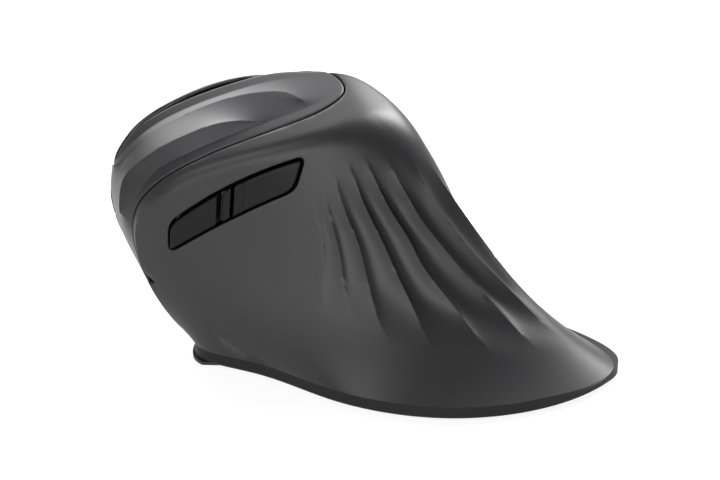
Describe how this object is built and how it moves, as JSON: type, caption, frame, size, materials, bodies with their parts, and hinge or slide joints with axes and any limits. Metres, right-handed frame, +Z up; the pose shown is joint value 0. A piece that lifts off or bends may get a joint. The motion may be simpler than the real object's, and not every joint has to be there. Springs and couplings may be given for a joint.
{
  "type": "computer mouse",
  "caption": "Upright wireless computer mouse for the right hand, with a tall thumb wall, sculpted top panel, side buttons, scroll wheel and a battery bay in the base.",
  "frame": {"origin": "middle of the bounding box, on the desk under the glide feet", "axes": "+X to the palm side, +Y forward away from the user, +Z up"},
  "size_m": [0.0772, 0.1234, 0.0697],
  "materials": {
    "shell_plastic": "fine satin texture, dark graphite",
    "panel_plastic": "smooth satin, mid grey",
    "button_plastic": "smooth satin, dark graphite",
    "accent_plastic": "gloss black",
    "base_plastic": "fine grained black",
    "wheel_rubber": "ribbed, matt",
    "inner_plastic": "black moulded",
    "white_plastic": "white switch plungers",
    "board_green": "green circuit board",
    "chip_black": "black moulded chip",
    "steel": "zinc plated",
    "foot_ptfe": "waxy grey-black glide pads",
    "lens_clear": "clear moulded lens",
    "battery_wrap": "plain printed-free sleeve",
    "ribbon": "flat white cable"
  },
  "bodies": {
    "body": {"hand_shell": "shell_plastic", "top_panel": "panel_plastic", "centre_strip": "accent_plastic", "base_shell": "base_plastic", "battery": "battery_wrap", "battery_plate": "steel", "battery_spring": "steel", "main_circuit_board": "board_green", "sensor_chip": "chip_black", "sensor_lens": "lens_clear", "controller_chip": "chip_black", "power_switch": "chip_black", "front_foot": "foot_ptfe", "rear_foot": "foot_ptfe", "side_foot": "foot_ptfe", "base_screws": "steel", "inner_frame": "inner_plastic", "pivot_pin": "steel", "button_board": "board_green", "side_board": "board_green", "click_switches": "chip_black", "dpi_switch": "chip_black", "middle_switch": "chip_black", "side_switches": "chip_black", "wheel_encoder": "chip_black", "ribbon_cable": "ribbon"},
    "left_button": {"left_button": "button_plastic"},
    "right_button": {"right_button": "button_plastic"},
    "dpi_button": {"dpi_button": "button_plastic"},
    "forward_button": {"forward_button": "button_plastic"},
    "back_button": {"back_button": "button_plastic"},
    "left_plunger": {"left_plunger": "white_plastic"},
    "right_plunger": {"right_plunger": "white_plastic"},
    "dpi_plunger": {"dpi_plunger": "white_plastic"},
    "middle_plunger": {"middle_plunger": "white_plastic"},
    "forward_plunger": {"forward_plunger": "white_plastic"},
    "back_plunger": {"back_plunger": "white_plastic"},
    "wheel_carrier": {"wheel_carrier": "inner_plastic"},
    "wheel": {"wheel_hub": "inner_plastic", "wheel_tyre": "wheel_rubber"},
    "power_slider": {"power_slider": "white_plastic"},
    "battery_door": {"battery_door": "base_plastic"},
    "receiver": {"receiver_cap": "base_plastic", "receiver_plug": "steel"}
  },
  "joints": [
    {"name": "left_click", "type": "hinge", "parent": "body", "child": "left_button", "pos_m": [0.01194, 0.0133, 0.04147], "axis": [-0.4307, 0, 0.9025], "range_deg": [0, 0.6], "stiffness_Nm_per_rad": 0.6, "springref_deg": -1.15},
    {"name": "right_click", "type": "hinge", "parent": "body", "child": "right_button", "pos_m": [0.01194, 0.0133, 0.04147], "axis": [-0.4307, 0, 0.9025], "range_deg": [0, 0.6], "stiffness_Nm_per_rad": 0.6, "springref_deg": -1.15},
    {"name": "left_plunger_travel", "type": "slide", "parent": "body", "child": "left_plunger", "axis": [-0.8804, -0.2201, -0.4202], "range_m": [0, 0.0004]},
    {"name": "right_plunger_travel", "type": "slide", "parent": "body", "child": "right_plunger", "axis": [-0.8804, -0.2201, -0.4202], "range_m": [0, 0.00025]},
    {"name": "wheel_press", "type": "slide", "parent": "body", "child": "wheel_carrier", "axis": [-0.8804, -0.2201, -0.4202], "range_m": [0, 0.0006], "stiffness_N_per_m": 400, "springref_m": -0.0005},
    {"name": "middle_plunger_travel", "type": "slide", "parent": "body", "child": "middle_plunger", "axis": [-0.8804, -0.2201, -0.4202], "range_m": [0, 0.0006]},
    {"name": "wheel_spin", "type": "hinge", "parent": "wheel_carrier", "child": "wheel", "pos_m": [0.00926, 0.03487, 0.04019], "axis": [-0.4307, 0, 0.9025], "continuous": true},
    {"name": "dpi_press", "type": "slide", "parent": "body", "child": "dpi_button", "axis": [-0.8804, -0.2201, -0.4202], "range_m": [0, 0.0005], "stiffness_N_per_m": 300, "springref_m": -0.0005},
    {"name": "dpi_plunger_travel", "type": "slide", "parent": "body", "child": "dpi_plunger", "axis": [-0.8804, -0.2201, -0.4202], "range_m": [0, 0.0005]},
    {"name": "forward_press", "type": "slide", "parent": "body", "child": "forward_button", "axis": [1, 0, 0], "range_m": [0, 0.0006], "stiffness_N_per_m": 400, "springref_m": -0.0005},
    {"name": "forward_plunger_travel", "type": "slide", "parent": "body", "child": "forward_plunger", "axis": [1, 0, 0], "range_m": [0, 0.0006]},
    {"name": "back_press", "type": "slide", "parent": "body", "child": "back_button", "axis": [1, 0, 0], "range_m": [0, 0.0006], "stiffness_N_per_m": 400, "springref_m": -0.0005},
    {"name": "back_plunger_travel", "type": "slide", "parent": "body", "child": "back_plunger", "axis": [1, 0, 0], "range_m": [0, 0.0006]},
    {"name": "power_slide", "type": "slide", "parent": "body", "child": "power_slider", "axis": [0, 1, 0], "range_m": [0, 0.003]},
    {"name": "battery_door_hinge", "type": "hinge", "parent": "body", "child": "battery_door", "pos_m": [0.00904, -0.02023, 0.0014], "axis": [-1, 0, 0], "range_deg": [0, 75]},
    {"name": "receiver_pull", "type": "slide", "parent": "body", "child": "receiver", "axis": [0, 0, -1], "range_m": [0, 0.015]}
  ],
  "couplings": [
    {"joint": "left_plunger_travel", "follows": "left_click", "m_per_rad": 0.0327},
    {"joint": "right_plunger_travel", "follows": "right_click", "m_per_rad": 0.0202},
    {"joint": "middle_plunger_travel", "follows": "wheel_press", "ratio": 1},
    {"joint": "dpi_plunger_travel", "follows": "dpi_press", "ratio": 1},
    {"joint": "forward_plunger_travel", "follows": "forward_press", "ratio": 1},
    {"joint": "back_plunger_travel", "follows": "back_press", "ratio": 1}
  ]
}
